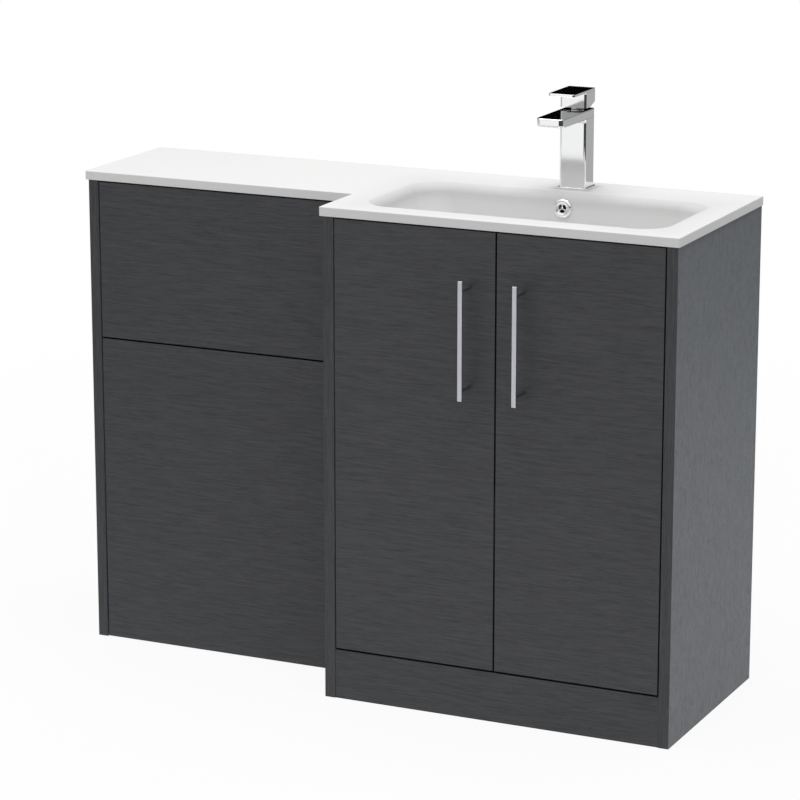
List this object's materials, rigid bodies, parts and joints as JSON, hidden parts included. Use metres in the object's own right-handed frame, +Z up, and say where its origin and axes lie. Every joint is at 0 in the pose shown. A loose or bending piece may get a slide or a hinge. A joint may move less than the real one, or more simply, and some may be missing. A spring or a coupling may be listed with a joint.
{
  "type": "toilet and basin combination unit",
  "caption": "L-shaped bathroom unit: shallow back-to-wall toilet cabinet beside a deeper two-door vanity, one-piece basin worktop, lever mixer and bottle trap.",
  "frame": {"origin": "middle of the bounding box's underside, on the floor", "axes": "+X to the right along the wall, +Y to the wall, +Z up"},
  "size_m": [1.108, 0.418, 0.98],
  "materials": {
    "board_front": "satin, horizontal grain",
    "board_side": "satin, vertical grain",
    "board_inner": "matte",
    "resin": "satin gel coat",
    "chrome": "polished",
    "handle_metal": "satin",
    "hinge_steel": "nickel plated",
    "zinc_steel": "zinc plated",
    "white_plastic": "gloss",
    "clip_plastic": "matte",
    "seal_rubber": "matte",
    "brass": "turned",
    "cartridge_plastic": "matte",
    "aerator_plastic": "matte"
  },
  "bodies": {
    "root": {"wc_side_left": "board_side", "wc_side_right": "board_side", "wc_front_lower": "board_front", "wc_rail_top_front": "board_inner", "wc_rail_mid": "board_inner", "wc_rail_bottom_front": "board_inner", "wc_rail_back_top": "board_inner", "wc_rail_back_low": "board_inner", "clip_sockets": "clip_plastic", "vanity_side_left": "board_side", "vanity_side_right": "board_side", "vanity_base": "board_inner", "vanity_rail_back_top": "board_inner", "vanity_rail_back_low": "board_inner", "plinth": "board_front", "shelf": "board_inner", "shelf_pins": "zinc_steel", "door_stops": "seal_rubber", "connector_bolts": "zinc_steel", "wall_brackets": "zinc_steel", "top_brackets": "zinc_steel", "hinge_plates_left": "hinge_steel", "hinge_arms_left": "hinge_steel", "hinge_plates_right": "hinge_steel", "hinge_arms_right": "hinge_steel", "basin_top": "resin", "overflow_cover": "chrome", "waste_flange": "chrome", "waste_seal": "seal_rubber", "waste_nut": "brass", "trap_body": "white_plastic", "trap_cup": "white_plastic", "trap_nuts": "white_plastic", "trap_pipe": "white_plastic", "tap_flange": "chrome", "tap_body": "chrome", "tap_cartridge": "cartridge_plastic", "tap_collar": "chrome", "tap_aerator": "aerator_plastic", "tap_fixing": "brass", "tap_clamp": "seal_rubber"},
    "wc_panel": {"wc_access_panel": "board_front", "panel_clips": "clip_plastic"},
    "door_left": {"door_left": "board_front", "handle_left": "handle_metal", "handle_screws_left": "zinc_steel", "hinge_cups_left": "hinge_steel", "hinge_pins_left": "hinge_steel"},
    "door_right": {"door_right": "board_front", "handle_right": "handle_metal", "handle_screws_right": "zinc_steel", "hinge_cups_right": "hinge_steel", "hinge_pins_right": "hinge_steel"},
    "waste_plug": {"waste_plug": "chrome"},
    "tap_swivel": {"tap_spindle": "brass"},
    "tap_lever": {"tap_lever": "chrome", "tap_pivot": "hinge_steel"}
  },
  "joints": [
    {"name": "door_left_hinge", "type": "hinge", "parent": "root", "child": "door_left", "pos_m": [-0.0015, -0.164, 0.443], "axis": [0, 0, -1], "range_deg": [0, 95]},
    {"name": "door_right_hinge", "type": "hinge", "parent": "root", "child": "door_right", "pos_m": [0.5055, -0.164, 0.443], "axis": [0, 0, 1], "range_deg": [0, 95]},
    {"name": "access_panel_slide", "type": "slide", "parent": "root", "child": "wc_panel", "axis": [0, -1, 0], "range_m": [0, 0.12]},
    {"name": "plug_slide", "type": "slide", "parent": "root", "child": "waste_plug", "axis": [0, 0, 1], "range_m": [0, 0.008]},
    {"name": "tap_turn", "type": "hinge", "parent": "root", "child": "tap_swivel", "pos_m": [0.252, 0.1535, 0.947], "axis": [0, 0, 1], "range_deg": [-45, 45]},
    {"name": "lever_lift", "type": "hinge", "parent": "tap_swivel", "child": "tap_lever", "pos_m": [0.252, 0.1535, 0.9585], "axis": [-1, 0, 0], "range_deg": [0, 20]}
  ]
}
